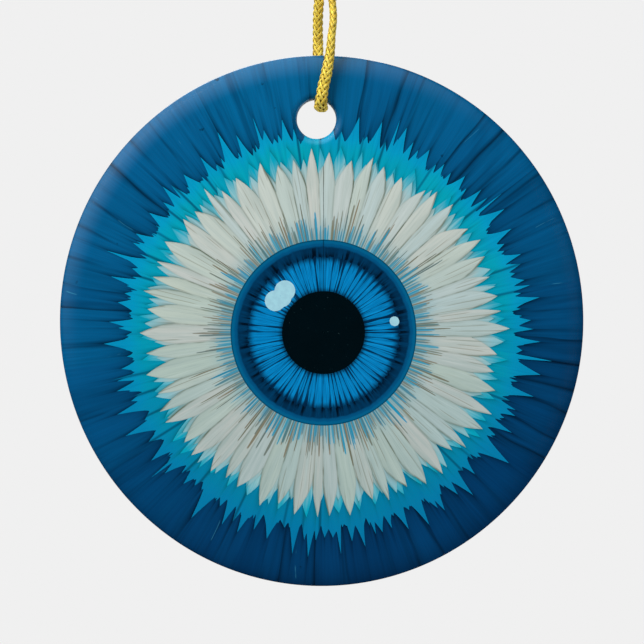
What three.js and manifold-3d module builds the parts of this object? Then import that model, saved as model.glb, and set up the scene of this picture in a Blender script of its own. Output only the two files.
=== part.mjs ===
// Evil eye ornament: a glazed porcelain disc printed with an eye, hung on a braided gold cord.
//
// Millimetres, +Z up. The printed face looks along -Y, and +X is to the right of someone who looks at it.
// The origin is the hanging point: the place just under the knot where a hook or twig carries the cord.

import * as THREE from 'three';
import { mergeVertices } from 'three/addons/utils/BufferGeometryUtils.js';
import Module from 'manifold-3d';

const wasm = await Module();
wasm.setup();

// ---------------------------------------------------------------- driving dimensions

// The disc. Fired porcelain comes out a little taller than wide.
const DISC_WIDTH = 73.1;
const DISC_HEIGHT = 74.1;
const DISC_THICKNESS = 3.5;
const DISC_X = -0.55; // the disc's centre, from the hanging point
const FRONT_SHOULDER_RUN = 3.3; // how far in from the rim the front face starts to fall away
const FRONT_SHOULDER_DROP = 1.3;
const BACK_EDGE_RADIUS = 0.9;

// The drilled hole that the cord goes through.
const HOLE_DIAMETER = 5.5;
const HOLE_X = -0.73; // from the disc's centre
const HOLE_TO_RIM = 6.1; // the web of porcelain between the hole and the top of the rim
const HOLE_TOP_Z = -14.25; // how far below the hanging point the hole's top edge rests on the cord
const HOLE_EDGE_RADIUS = 1.0; // both mouths are rounded over

// The print: one film, which wraps over the front shoulder and ends on the side wall.
const PRINT_THICKNESS = 0.1;
const PRINT_CLEARANCE = 0.01; // between the film and the glaze under it
const FIELD_GAP = 0.04; // between one ink field and the next
const PRINT_WRAP = 0.9; // how far past the shoulder's end the film runs down the side wall
const PRINT_HOLE_WRAP = 0.8; // how far it runs down the rounded mouth of the hole
const ART_X = 0.26; // the middle of the pupil, from the disc's centre
const ART_Z = -1.66;

// The eye, from the middle of the pupil outwards.
const PUPIL_RADIUS = 5.8;
const IRIS_WIDTH = 4.8;
const IRIS_RIM_WIDTH = 2.4;
const PETAL_COUNT = 58;
const PETAL_LENGTH = 12.6; // from the iris rim to the tips
const PETAL_SHOULDER = 2.2; // how far short of the tips a petal is at its widest
const PETAL_NOTCH = 4.4; // how far short of the tips two petals part
const PETAL_UNEVENNESS = 0.8; // how much longer or shorter one petal is than the next
const SPIKE_COUNT = 56;
const STAR_BAND = 1.6; // cyan between the petal tips and the notches of the star
const SPIKE_LENGTH = 3.2;
const SPIKE_UNEVENNESS = 1.5;

// The two light marks on the eye: a large one of two lobes on the pupil's upper left, and a small dot.
const GLINT_LOBES = [
  { x: -5.35, z: 5.9, radius: 1.4 },
  { x: -6.7, z: 4.5, radius: 1.5 },
];
const GLINT_DOT = { x: 9.9, z: 1.6, radius: 0.66 };

// The cord and its knot.
const CORD_DIAMETER = 1.5;
const KNOT_DIAMETER = 6.2;
const KNOT_HEIGHT = 5.6;
const KNOT_CLEARANCE = 0.3; // round the strands where they turn under the knot, and at the tails

// How finely round shapes are drawn.
const DISC_SEGMENTS = 72;
const HOLE_SEGMENTS = 28;
const SHOULDER_STEPS = 6;
const EDGE_STEPS = 4;
const CORD_SIDES = 8;
const TUBE_STEPS_PER_POINT = 1.5;

// The cord's route, chosen by hand: from where the front strand meets the upper length, down the front of
// the disc, back through the hole under the rim, and up behind to the rear strand.
const LOWER_ROUTE = [
  [0.84, -2.34, -5.35],
  [0.73, -2.64, -6.75],
  [0.57, -2.72, -8.2],
  [0.33, -2.72, -9.6],
  [0.06, -2.72, -11.0],
  [-0.25, -2.72, -12.2],
  [-0.42, -2.72, -13.1],
  [-0.53, -2.6, -13.9],
  [-0.6, -2.15, -14.72],
  [-0.63, -1.1, -15.22],
  [-0.64, 0, -15.32],
  [-0.66, 1.1, -15.2],
  [-0.7, 2.08, -14.66],
  [-0.75, 2.48, -13.85],
  [-0.82, 2.6, -13.1],
  [-0.9, 2.62, -12.2],
  [-0.98, 2.62, -11.0],
  [-1.03, 2.62, -9.6],
  [-1.05, 2.62, -8.2],
  [-1.06, 2.56, -6.75],
  [-1.07, 2.28, -5.35],
];
const UPPER_FRONT_ROUTE = [
  [0.87, -2.24, -5.05],
  [1.02, -1.78, -3.9],
  [1.08, -1.15, -2.5],
  [1.0, -0.53, -1.15],
  [0.86, 0, 0],
];
const UPPER_REAR_ROUTE = [
  [-1.07, 2.18, -5.05],
  [-1.08, 1.74, -3.9],
  [-1.06, 1.13, -2.5],
  [-0.98, 0.53, -1.15],
  [-0.86, 0, 0],
];
const FRONT_TAIL_ROUTE = [
  [0.85, -0.15, 0],
  [1.25, -0.35, 1.6],
  [2.0, -0.55, 3.2],
  [3.0, -0.6, 4.7],
];
const REAR_TAIL_ROUTE = [
  [-0.85, 0.15, 0],
  [-1.1, 0.35, 1.5],
  [-1.75, 0.6, 2.9],
  [-2.5, 0.7, 4.1],
];

// ---------------------------------------------------------------- what follows from them

const HOLE_Z = DISC_HEIGHT / 2 - HOLE_TO_RIM - HOLE_DIAMETER / 2; // from the disc's centre
const DISC_Z = HOLE_TOP_Z - HOLE_DIAMETER / 2 - HOLE_Z;
const IRIS_RADIUS = PUPIL_RADIUS + IRIS_WIDTH;
const IRIS_RIM_RADIUS = IRIS_RADIUS + IRIS_RIM_WIDTH;
const PETAL_TIP_RADIUS = IRIS_RIM_RADIUS + PETAL_LENGTH;
const SPIKE_VALLEY_RADIUS = PETAL_TIP_RADIUS + STAR_BAND;
const SPIKE_TIP_RADIUS = SPIKE_VALLEY_RADIUS + SPIKE_LENGTH;
const FILM_END = -DISC_THICKNESS / 2 + FRONT_SHOULDER_DROP + PRINT_WRAP;
const FILM_HOLE_END = -DISC_THICKNESS / 2 + PRINT_HOLE_WRAP;
const KNOT_BOTTOM = CORD_DIAMETER / 2 + KNOT_CLEARANCE;
const KNOT_TOP = KNOT_BOTTOM + KNOT_HEIGHT;

// ---------------------------------------------------------------- solids and booleans

function solidOf(geometry) {
  const bare = geometry.clone();
  bare.deleteAttribute('normal');
  bare.deleteAttribute('uv');
  const merged = mergeVertices(bare, 1e-4);
  return new wasm.Manifold(
    new wasm.Mesh({
      numProp: 3,
      vertProperties: new Float32Array(merged.attributes.position.array),
      triVerts: new Uint32Array(merged.index.array),
    }),
  );
}

function geometryOf(solid) {
  const mesh = solid.getMesh();
  const geometry = new THREE.BufferGeometry();
  geometry.setAttribute('position', new THREE.BufferAttribute(mesh.vertProperties, 3));
  geometry.setIndex(new THREE.BufferAttribute(mesh.triVerts, 1));
  geometry.computeVertexNormals();
  return geometry;
}

// A quarter round as profile points, from one angle to another about a centre.
function arc(cx, cy, runX, runY, from, to, steps) {
  return Array.from({ length: steps + 1 }, (_, i) => {
    const angle = from + ((to - from) * i) / steps;
    return new THREE.Vector2(cx + runX * Math.cos(angle), cy + runY * Math.sin(angle));
  });
}

// A prism along Y with the given outline of x and z, which runs past both faces of the disc.
function prism(outline) {
  const depth = 4 * DISC_THICKNESS;
  const geometry = new THREE.ExtrudeGeometry(new THREE.Shape(outline), {
    depth,
    bevelEnabled: false,
    steps: 1,
  });
  geometry.rotateX(Math.PI / 2);
  geometry.translate(0, depth / 2, 0);
  return solidOf(geometry);
}

function circle(x, z, radius, segments) {
  return Array.from({ length: segments }, (_, i) => {
    const angle = (2 * Math.PI * i) / segments;
    return new THREE.Vector2(x + radius * Math.cos(angle), z + radius * Math.sin(angle));
  });
}

// ---------------------------------------------------------------- the disc

// The disc's body, grown by skin on every face and inside the hole, about the disc's own centre.
function discBody(skin) {
  const half = DISC_THICKNESS / 2;
  const radius = DISC_HEIGHT / 2;
  const quarter = Math.PI / 2;
  const profile = [
    new THREE.Vector2(0, -half - skin),
    ...arc(
      radius - FRONT_SHOULDER_RUN,
      -half + FRONT_SHOULDER_DROP,
      FRONT_SHOULDER_RUN + skin,
      FRONT_SHOULDER_DROP + skin,
      -quarter,
      0,
      SHOULDER_STEPS,
    ),
    ...arc(
      radius - BACK_EDGE_RADIUS,
      half - BACK_EDGE_RADIUS,
      BACK_EDGE_RADIUS + skin,
      BACK_EDGE_RADIUS + skin,
      0,
      quarter,
      EDGE_STEPS,
    ),
    new THREE.Vector2(0, half + skin),
  ];
  const blank = new THREE.LatheGeometry(profile, DISC_SEGMENTS);
  blank.scale(DISC_WIDTH / DISC_HEIGHT, 1, 1);
  return solidOf(blank).subtract(holeTool(skin));
}

// What the drill and the rounding of both mouths take away, less skin on every wall.
function holeTool(skin) {
  const half = DISC_THICKNESS / 2;
  const edge = HOLE_EDGE_RADIUS + skin;
  const beyond = DISC_THICKNESS;
  const centre = HOLE_DIAMETER / 2 + HOLE_EDGE_RADIUS;
  const straight = half - HOLE_EDGE_RADIUS;
  const quarter = Math.PI / 2;
  const front = arc(centre, -straight, edge, edge, -quarter, -2 * quarter, EDGE_STEPS);
  const back = arc(centre, straight, edge, edge, 2 * quarter, quarter, EDGE_STEPS);
  const profile = [
    new THREE.Vector2(0, -half - beyond),
    new THREE.Vector2(centre, -half - beyond),
    ...front,
    ...back,
    new THREE.Vector2(centre, half + beyond),
    new THREE.Vector2(0, half + beyond),
  ];
  const tool = new THREE.LatheGeometry(profile, HOLE_SEGMENTS);
  tool.translate(HOLE_X, 0, HOLE_Z);
  return solidOf(tool);
}

// ---------------------------------------------------------------- the print

// A repeatable number from 0 to 1 for each petal or spike, so that no two are quite alike.
function uneven(index, salt) {
  const value = Math.sin(index * 12.9898 + salt * 78.233) * 43758.5453;
  return value - Math.floor(value);
}

function around(angle, radius) {
  return new THREE.Vector2(ART_X + radius * Math.sin(angle), ART_Z + radius * Math.cos(angle));
}

// The outline of the pale petals, one leaf-shaped tip after another round the eye, grown by extra.
function petalOutline(extra) {
  const pitch = (2 * Math.PI) / PETAL_COUNT;
  const outline = [];
  for (let i = 0; i < PETAL_COUNT; i += 1) {
    const start = i * pitch;
    const tip = PETAL_TIP_RADIUS + PETAL_UNEVENNESS * (uneven(i, 1) - 0.5) + extra;
    const lean = 0.5 + 0.12 * (uneven(i, 2) - 0.5);
    const notch = PETAL_TIP_RADIUS - PETAL_NOTCH + PETAL_UNEVENNESS * (uneven(i, 3) - 0.5) + extra;
    const shoulder = PETAL_TIP_RADIUS - PETAL_SHOULDER + extra;
    outline.push(around(start, notch));
    outline.push(around(start + 0.22 * pitch, shoulder));
    outline.push(around(start + lean * pitch, tip));
    outline.push(around(start + 0.78 * pitch, shoulder));
  }
  return outline;
}

// The outline of the cyan star: steep spikes of uneven height.
function spikeOutline(extra) {
  const pitch = (2 * Math.PI) / SPIKE_COUNT;
  const outline = [];
  for (let i = 0; i < SPIKE_COUNT; i += 1) {
    const start = i * pitch;
    const valley = SPIKE_VALLEY_RADIUS + 0.5 * SPIKE_UNEVENNESS * (uneven(i, 4) - 0.5);
    const tip = SPIKE_TIP_RADIUS + 2 * SPIKE_UNEVENNESS * (uneven(i, 5) - 0.5);
    const lean = 0.5 + 0.2 * (uneven(i, 6) - 0.5);
    outline.push(around(start, valley + extra));
    outline.push(around(start + lean * pitch, tip + extra));
  }
  return outline;
}

function ring(radius) {
  return prism(circle(ART_X, ART_Z, radius, DISC_SEGMENTS));
}

function glintLarge(extra) {
  const [first, second] = GLINT_LOBES.map((lobe) =>
    prism(circle(ART_X + lobe.x, ART_Z + lobe.z, lobe.radius + extra, 24)),
  );
  return first.add(second);
}

function glintSmall(extra) {
  return prism(circle(ART_X + GLINT_DOT.x, ART_Z + GLINT_DOT.z, GLINT_DOT.radius + extra, 20));
}

// The whole film, before the ink fields divide it: a skin on the front face, the shoulder and the hole's mouth.
function wholeFilm() {
  const skin = discBody(PRINT_CLEARANCE + PRINT_THICKNESS).subtract(discBody(PRINT_CLEARANCE));
  const side = 2 * Math.max(DISC_WIDTH, DISC_HEIGHT);
  const keep = new THREE.BoxGeometry(side, DISC_THICKNESS, side);
  keep.translate(0, FILM_END - DISC_THICKNESS / 2, 0);
  const reach = HOLE_DIAMETER / 2 + HOLE_EDGE_RADIUS;
  const mouth = new THREE.CylinderGeometry(reach, reach, DISC_THICKNESS, HOLE_SEGMENTS);
  mouth.translate(HOLE_X, FILM_HOLE_END + DISC_THICKNESS / 2, HOLE_Z);
  return skin.intersect(solidOf(keep)).subtract(solidOf(mouth));
}

// ---------------------------------------------------------------- the cord

function tube(route) {
  const points = route.map(([x, y, z]) => new THREE.Vector3(x, y, z));
  const section = circle(0, 0, CORD_DIAMETER / 2, CORD_SIDES);
  const geometry = new THREE.ExtrudeGeometry(new THREE.Shape(section), {
    steps: Math.round(TUBE_STEPS_PER_POINT * (route.length - 1)),
    bevelEnabled: false,
    extrudePath: new THREE.CatmullRomCurve3(points),
  });
  return solidOf(geometry);
}

// A round end for a strand that turns in place, so that it stays clear of the knot as it swings.
function roundEnd([x, y, z]) {
  const ball = new THREE.SphereGeometry(CORD_DIAMETER / 2, CORD_SIDES, CORD_SIDES / 2);
  ball.translate(x, y, z);
  return solidOf(ball);
}

// The knot's outer shape: a barrel with a waist where its two turns lie on each other.
function knotBody() {
  const radius = KNOT_DIAMETER / 2;
  const profile = [
    new THREE.Vector2(0, 0),
    new THREE.Vector2(0.62 * radius, 0.02 * KNOT_HEIGHT),
    new THREE.Vector2(0.93 * radius, 0.14 * KNOT_HEIGHT),
    new THREE.Vector2(radius, 0.3 * KNOT_HEIGHT),
    new THREE.Vector2(0.94 * radius, 0.5 * KNOT_HEIGHT),
    new THREE.Vector2(radius, 0.68 * KNOT_HEIGHT),
    new THREE.Vector2(0.9 * radius, 0.86 * KNOT_HEIGHT),
    new THREE.Vector2(0.55 * radius, 0.98 * KNOT_HEIGHT),
    new THREE.Vector2(0, KNOT_HEIGHT),
  ];
  const body = new THREE.LatheGeometry(profile, 20);
  body.rotateX(Math.PI / 2);
  body.translate(0, 0, KNOT_BOTTOM);
  return solidOf(body);
}

function tail(route) {
  const lift = KNOT_TOP + KNOT_CLEARANCE;
  return tube(route.map(([x, y, z]) => [x, y, z + lift]));
}

// ---------------------------------------------------------------- the assembly

const ornament = new THREE.Group();
ornament.name = 'evil_eye_ornament';
const discGroup = new THREE.Group();
discGroup.position.set(DISC_X, 0, DISC_Z);
ornament.add(discGroup);

function piece(parent, name, solid, color, roughness, metalness) {
  const material = new THREE.MeshStandardMaterial({ color, roughness, metalness });
  const mesh = new THREE.Mesh(geometryOf(solid), material);
  mesh.name = name;
  parent.add(mesh);
}

const CORD_GOLD = 0xd9a92f;
const CORD_ROUGHNESS = 0.35;
const CORD_METALNESS = 0.85;
const PRINT_ROUGHNESS = 0.15;

const film = wholeFilm();
const petals = prism(petalOutline(0));
const petalsGrown = prism(petalOutline(FIELD_GAP));
const star = prism(spikeOutline(0));
const starGrown = prism(spikeOutline(FIELD_GAP));
const glints = glintLarge(FIELD_GAP).add(glintSmall(FIELD_GAP));

const fields = {
  print_ground: [film.subtract(starGrown), 0x04467a],
  print_star: [film.intersect(star).subtract(petalsGrown), 0x0098be],
  print_petals: [film.intersect(petals).subtract(ring(IRIS_RIM_RADIUS + FIELD_GAP)), 0xb4bdb6],
  print_iris_rim: [
    film.intersect(ring(IRIS_RIM_RADIUS)).subtract(ring(IRIS_RADIUS + FIELD_GAP)).subtract(glints),
    0x03304f,
  ],
  print_iris: [
    film.intersect(ring(IRIS_RADIUS)).subtract(ring(PUPIL_RADIUS + FIELD_GAP)).subtract(glints),
    0x1172a2,
  ],
  print_pupil: [film.intersect(ring(PUPIL_RADIUS)).subtract(glints), 0x011017],
  print_glint_large: [film.intersect(glintLarge(0)), 0xa0d2dc],
  print_glint_small: [film.intersect(glintSmall(0)), 0xbee1f0],
};

piece(discGroup, 'porcelain_disc', discBody(0), 0xf1f0ec, 0.2, 0);
for (const [name, [solid, color]] of Object.entries(fields)) {
  piece(discGroup, name, solid, color, PRINT_ROUGHNESS, 0);
}

function cordPiece(name, solid) {
  piece(ornament, name, solid, CORD_GOLD, CORD_ROUGHNESS, CORD_METALNESS);
}

cordPiece('cord_lower', tube(LOWER_ROUTE));
cordPiece('cord_upper_front', tube(UPPER_FRONT_ROUTE).add(roundEnd(UPPER_FRONT_ROUTE.at(-1))));
cordPiece('cord_upper_rear', tube(UPPER_REAR_ROUTE).add(roundEnd(UPPER_REAR_ROUTE.at(-1))));
cordPiece('cord_knot', knotBody());
cordPiece('cord_tail_front', tail(FRONT_TAIL_ROUTE));
cordPiece('cord_tail_rear', tail(REAR_TAIL_ROUTE));

export default ornament;
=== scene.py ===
"""Evil eye ornament: a printed porcelain disc on a braided gold cord, built round the packed frame."""

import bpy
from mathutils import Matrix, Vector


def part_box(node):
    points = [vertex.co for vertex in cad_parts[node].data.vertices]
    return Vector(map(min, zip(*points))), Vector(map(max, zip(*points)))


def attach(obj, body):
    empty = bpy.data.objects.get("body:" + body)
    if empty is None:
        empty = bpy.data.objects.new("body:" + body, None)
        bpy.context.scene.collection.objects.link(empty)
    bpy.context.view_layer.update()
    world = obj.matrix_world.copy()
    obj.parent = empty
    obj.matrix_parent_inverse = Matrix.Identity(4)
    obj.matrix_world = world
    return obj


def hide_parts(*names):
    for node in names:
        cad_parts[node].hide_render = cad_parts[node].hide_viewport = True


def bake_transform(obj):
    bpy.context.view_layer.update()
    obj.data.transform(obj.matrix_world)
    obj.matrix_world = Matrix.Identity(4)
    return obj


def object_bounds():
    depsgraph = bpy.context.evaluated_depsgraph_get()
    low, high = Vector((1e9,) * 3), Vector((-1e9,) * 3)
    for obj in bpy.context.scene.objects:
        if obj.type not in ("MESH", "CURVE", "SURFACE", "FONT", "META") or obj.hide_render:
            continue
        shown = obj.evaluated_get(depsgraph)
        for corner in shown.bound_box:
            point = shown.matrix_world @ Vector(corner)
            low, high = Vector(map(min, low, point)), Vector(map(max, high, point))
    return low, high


bl_info = {
    "name": "Evil Eye Ornament",
    "version": (1, 0, 0),
    "blender": (4, 5, 0),
    "location": "View3D > Sidebar > Ornament",
    "description": "Builds a printed porcelain disc that hangs on a braided gold cord",
    "category": "Object",
}

import math

import bmesh
import bpy
import numpy as np
from bpy.props import FloatProperty, FloatVectorProperty, IntProperty, PointerProperty
from mathutils import Vector

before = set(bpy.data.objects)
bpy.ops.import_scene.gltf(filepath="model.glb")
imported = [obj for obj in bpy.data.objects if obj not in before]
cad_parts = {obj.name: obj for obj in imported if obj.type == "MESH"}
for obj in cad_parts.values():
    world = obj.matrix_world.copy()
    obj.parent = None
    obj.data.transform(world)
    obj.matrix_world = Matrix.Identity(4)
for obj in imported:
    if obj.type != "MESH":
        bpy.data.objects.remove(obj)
CAD_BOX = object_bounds()
MM = 0.001
TURN = 2 * math.pi


def middle_of(node):
    low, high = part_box(node)
    return (low + high) / 2


def span_of(node):
    low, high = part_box(node)
    return high - low


DISC_MIDDLE = middle_of("porcelain_disc")
DISC_SPAN = span_of("porcelain_disc")
FILM_SPAN = span_of("print_ground")
FILM_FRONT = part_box("print_petals")[0].y
EYE_MIDDLE = Vector((middle_of("print_pupil").x, FILM_FRONT, middle_of("print_pupil").z))


def tint(red, green, blue):
    """A colour given as it looks on a screen, from 0 to 255, as the linear numbers that shaders use."""
    return tuple(
        c / 12.92 if c <= 0.04045 else ((c + 0.055) / 1.055) ** 2.4
        for c in (red / 255, green / 255, blue / 255)
    )


def length(name, description, default, least=0.0):
    return FloatProperty(
        name=name, description=description, default=default, unit="LENGTH", precision=5, min=least
    )


def share(name, description, default):
    return FloatProperty(name=name, description=description, default=default, min=0.0)


def number_of(name, description, default, least=0):
    return IntProperty(name=name, description=description, default=default, min=least)


def colour(name, description, default):
    return FloatVectorProperty(
        name=name, description=description, default=default, subtype="COLOR", size=3, min=0.0, max=1.0
    )


# ------------------------------------------------------------------ what a user may change


class DiscSettings(bpy.types.PropertyGroup):
    """Sizes and glaze of the porcelain disc"""

    shoulder_run: length("Shoulder run", "How far in from the rim the front falls away", 3.3 * MM)
    shoulder_drop: length("Shoulder drop", "How far the front shoulder falls", 1.3 * MM)
    back_edge: length("Back edge", "Radius of the rounded edge at the back", 0.9 * MM)
    hole: length("Hole", "Diameter of the hanging hole", 5.5 * MM)
    hole_edge: length("Hole edge", "Radius of the hole's rounded mouths", 1.0 * MM)
    hole_to_rim: length("Hole to rim", "Porcelain between the hole and the top of the rim", 6.1 * MM)
    hole_shift: length(
        "Hole shift", "How far the hole stands to the right of the disc's middle", -0.73 * MM, -20 * MM
    )
    white: colour("Porcelain", "Colour of the glazed porcelain", tint(240, 239, 234))


class PrintSettings(bpy.types.PropertyGroup):
    """Shapes of the printed eye"""

    seed: number_of("Seed", "Changes how the leaves and spikes vary", 11)
    leaves: number_of("Leaves", "Pale leaves in each layer round the eye", 58, 8)
    spikes: number_of("Spikes", "Large spikes of the star", 56, 8)
    leaf_foot: length("Leaf foot", "Where the front leaves begin to narrow", 19.4 * MM)
    leaf_tip: length("Leaf tip", "Distance of the front leaf tips from the middle of the eye", 25.2 * MM)
    inner_tip: length("Inner tip", "Distance of the tips of the second layer of leaves", 24.4 * MM)
    veil_tip: length("Veil tip", "Distance of the tips of the leaves furthest behind", 25.7 * MM)
    spike_foot: length("Spike foot", "Distance of the notches between the spikes", 26.5 * MM)
    spike_tip: length("Spike tip", "Distance of the star's tips from the middle of the eye", 30.3 * MM)


class InkSettings(bpy.types.PropertyGroup):
    """Inks of the printed eye"""

    night: colour("Pupil", "Ink of the pupil", tint(0, 14, 20))
    iris: colour("Iris", "Ink of the iris", tint(0, 118, 176))
    iris_line: colour("Iris lines", "Ink of the dark lines across the iris", tint(0, 26, 56))
    rim: colour("Iris rim", "Ink of the dark ring round the iris", tint(0, 50, 84))
    rim_edge: colour("Rim edge", "Ink of the thin ring outside the dark one", tint(0, 92, 132))
    leaf_line: colour("Leaf lines", "Ink of the lines between the leaves", tint(82, 90, 70))
    dash: colour("Dashes", "Ink of the short dashes at the foot of the leaves", tint(0, 136, 172))
    star: colour("Star", "Ink of the star", tint(0, 150, 186))
    star_line: colour("Star lines", "Ink of the lines between the spikes", tint(0, 74, 100))
    ground: colour("Ground", "Ink of the planks behind the star", tint(2, 72, 120))
    crack: colour("Cracks", "Ink of the dark gaps between planks", tint(0, 26, 48))
    glint: colour("Glints", "Ink of the light marks on the eye", tint(152, 194, 206))


class CordSettings(bpy.types.PropertyGroup):
    """Sizes and colour of the braided cord"""

    diameter: length("Diameter", "Diameter of the cord where it is round", 1.5 * MM)
    yarns: number_of("Yarns", "Yarns in each direction round the braid", 6, 4)
    lay: length("Lay", "Length of cord in which a yarn goes once round", 5.8 * MM)
    gold: colour("Gold", "Colour of the metallic yarn", tint(255, 221, 80))
    # shade is the core's colour: painted shade that stands for the dimness deep between the yarns.
    shade: colour("Shade", "Colour deep between the yarns", tint(74, 48, 10))


class StageSettings(bpy.types.PropertyGroup):
    """Floor, lights and camera"""

    view_width: length("View width", "Width of the scene that the camera takes in at the disc", 90.0 * MM)
    distance: length("Camera distance", "From the camera to the disc's face", 0.62)
    ambient: share("Ambient", "Even light from all round", 0.52)
    window: share("Window", "How bright the soft window mirrors", 1.5)
    backdrop: colour("Backdrop", "Colour of the floor and of what is behind", tint(240, 240, 240))


SETTINGS = {
    "ornament_disc": DiscSettings,
    "ornament_print": PrintSettings,
    "ornament_ink": InkSettings,
    "ornament_cord": CordSettings,
    "ornament_stage": StageSettings,
}


# ------------------------------------------------------------------ shader sheets


class Socket:
    """An output of a shader node. Sums on it add Math nodes to its sheet."""

    def __init__(self, sheet, output):
        self.sheet = sheet
        self.output = output

    def maths(self, operation, *others):
        return self.sheet.node("ShaderNodeMath", {"operation": operation}, dict(enumerate((self, *others))))

    def __add__(self, other):
        return self.maths("ADD", other)

    __radd__ = __add__

    def __sub__(self, other):
        return self.maths("SUBTRACT", other)

    def __rsub__(self, other):
        return self.sheet.node("ShaderNodeMath", {"operation": "SUBTRACT"}, {0: other, 1: self})

    def __mul__(self, other):
        return self.maths("MULTIPLY", other)

    __rmul__ = __mul__

    def __truediv__(self, other):
        return self.maths("DIVIDE", other)

    def __pow__(self, other):
        return self.maths("POWER", other)

    def least(self, other):
        return self.maths("MINIMUM", other)

    def most(self, other):
        return self.maths("MAXIMUM", other)

    def size(self):
        return self.maths("ABSOLUTE")

    def between(self, low, high):
        """0 where this is low, 1 where it is high, and smooth from one to the other."""
        return self.sheet.node(
            "ShaderNodeMapRange",
            {"interpolation_type": "SMOOTHSTEP"},
            {"Value": self, "From Min": low, "From Max": high, "To Min": 0.0, "To Max": 1.0},
        )


class Sheet:
    """The node sheet of one material or of the world."""

    def __init__(self, owner):
        owner.use_nodes = True
        self.owner = owner
        self.tree = owner.node_tree
        self.tree.nodes.clear()

    def node(self, kind, settings=None, inputs=None, output=0):
        made = self.tree.nodes.new(kind)
        for key, value in (settings or {}).items():
            if key == "stops":
                self.set_stops(made.color_ramp, value)
            else:
                setattr(made, key, value)
        for key, value in (inputs or {}).items():
            if isinstance(value, Socket):
                self.tree.links.new(value.output, made.inputs[key])
            else:
                made.inputs[key].default_value = value
        return Socket(self, made.outputs[output]) if made.outputs else made

    @staticmethod
    def set_stops(ramp, stops):
        while len(ramp.elements) < len(stops):
            ramp.elements.new(0.5)
        for element, (place, shade) in zip(ramp.elements, stops):
            element.position = place
            element.color = (*shade, 1.0)

    def mix(self, share, first, second):
        inputs = {0: share, 6: self.as_colour(first), 7: self.as_colour(second)}
        return self.node("ShaderNodeMix", {"data_type": "RGBA"}, inputs, 2)

    def washed(self, base, *washes):
        """A colour with others laid over it in turn, each given as its share and its shade."""
        for share_of_wash, shade in washes:
            base = self.mix(share_of_wash, base, shade)
        return base

    def tones(self, factor, *shades):
        """A colour from a row of shades, spread evenly from 0 to 1."""
        stops = [(k / (len(shades) - 1), shade) for k, shade in enumerate(shades)]
        return self.node("ShaderNodeValToRGB", {"stops": stops}, {"Fac": factor})

    @staticmethod
    def as_colour(value):
        return value if isinstance(value, Socket) else (*value, 1.0)

    def vector(self, x, y, z):
        return self.node("ShaderNodeCombineXYZ", None, {0: x, 1: y, 2: z})

    def spot(self):
        """Where a point is, in metres."""
        return self.node("ShaderNodeTexCoord", None, None, "Object")

    def place(self):
        """The same as three sockets."""
        spot = self.spot()
        return [self.node("ShaderNodeSeparateXYZ", None, {0: spot}, k) for k in range(3)]

    def named(self, attribute):
        return self.node("ShaderNodeAttribute", {"attribute_name": attribute}, None, "Fac")

    def noise(self, vector, scale, detail=3.0, rough=0.5):
        inputs = {"Vector": vector, "Scale": scale, "Detail": detail, "Roughness": rough}
        return self.node("ShaderNodeTexNoise", {"noise_dimensions": "3D"}, inputs, "Fac")

    def surface(self, base, roughness, height=None, step=0.02 * MM, strength=0.5, **fixed):
        """Joins a colour, a roughness and a height to the shader. What is fixed is set on its sockets."""
        inputs = {"Base Color": self.as_colour(base), "Roughness": roughness}
        if height is not None:
            inputs["Normal"] = self.node(
                "ShaderNodeBump", None, {"Strength": strength, "Distance": step, "Height": height}
            )
        inputs.update({key.replace("_", " "): value for key, value in fixed.items()})
        shader = self.node("ShaderNodeBsdfPrincipled", None, inputs)
        self.node("ShaderNodeOutputMaterial", None, {"Surface": shader})
        return self.owner


def sheet_for(name):
    return Sheet(bpy.data.materials.new(name))


class PrintSheet(Sheet):
    """A sheet for an ink field, with the place of a point told from the middle of the eye."""

    def __init__(self, name):
        super().__init__(bpy.data.materials.new(name))
        x, _, z = self.place()
        self.across = (x - EYE_MIDDLE.x) / MM
        self.up = (z - EYE_MIDDLE.z) / MM
        self.radius = (self.across * self.across + self.up * self.up) ** 0.5
        self.angle = self.across.maths("ARCTAN2", self.up)
        self.unit_across = self.across / self.radius.most(0.01)
        self.unit_up = self.up / self.radius.most(0.01)

    def streaks(self, fine, run, detail=3.0, rough=0.55):
        """Noise drawn out along the radius: fine says how many streaks go round, run how soon they end."""
        vector = self.vector(self.unit_across * fine, self.radius * run, self.unit_up * fine)
        return self.noise(vector, 1.0, detail, rough)

    def sway(self, much):
        """A slow drift to one side and the other along the radius, so that lines don't run dead straight."""
        return self.streaks(5.0, 0.04, 1.0) * much

    def flat(self):
        """Where a point is in the plane of the print, as one vector."""
        return self.vector(self.across, 0.0, self.up)

    def strips(self, count, drift, feature, output):
        """Uneven strips that run out from the eye, so many to a turn, and pushed aside by drift."""
        settings = {"voronoi_dimensions": "1D", "feature": feature}
        turn = self.angle * (count / TURN) + drift
        return self.node("ShaderNodeTexVoronoi", settings, {"W": turn, "Scale": 1.0}, output)

    def gap(self, count, drift):
        """How far a point is from the edge of its strip."""
        return self.strips(count, drift, "DISTANCE_TO_EDGE", "Distance")

    def from_middle(self, count, drift):
        """How far a point is from the middle of its strip."""
        return self.strips(count, drift, "F1", "Distance")

    def chances(self, count, drift):
        """Three chance numbers for each strip."""
        strip = self.strips(count, drift, "F1", "Color")
        return [self.node("ShaderNodeSeparateColor", None, {0: strip}, k) for k in range(3)]

    def seam(self, base, shade):
        """The thin upright line above the eye where the two sides of the print meet."""
        ragged = self.streaks(3.0, 0.7, 2.0)
        line = (1 - self.across.size().between(0.03, 0.1)) * self.up.between(0.0, 1.0)
        return self.mix(line * (0.35 + ragged * 0.6), base, shade)

    def glazed(self, base, rough=0.09):
        """The ink under its clear gloss: a little unevenness in the shine and a faint ripple."""
        spot = self.spot()
        ripple = self.noise(spot, 260.0, 2.0)
        cloud = self.noise(spot, 90.0, 3.0)
        roughness = rough + cloud * 0.07
        return self.surface(base, roughness, ripple, step=0.012 * MM, strength=0.35, IOR=1.5)


# ------------------------------------------------------------------ mesh helpers


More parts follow.
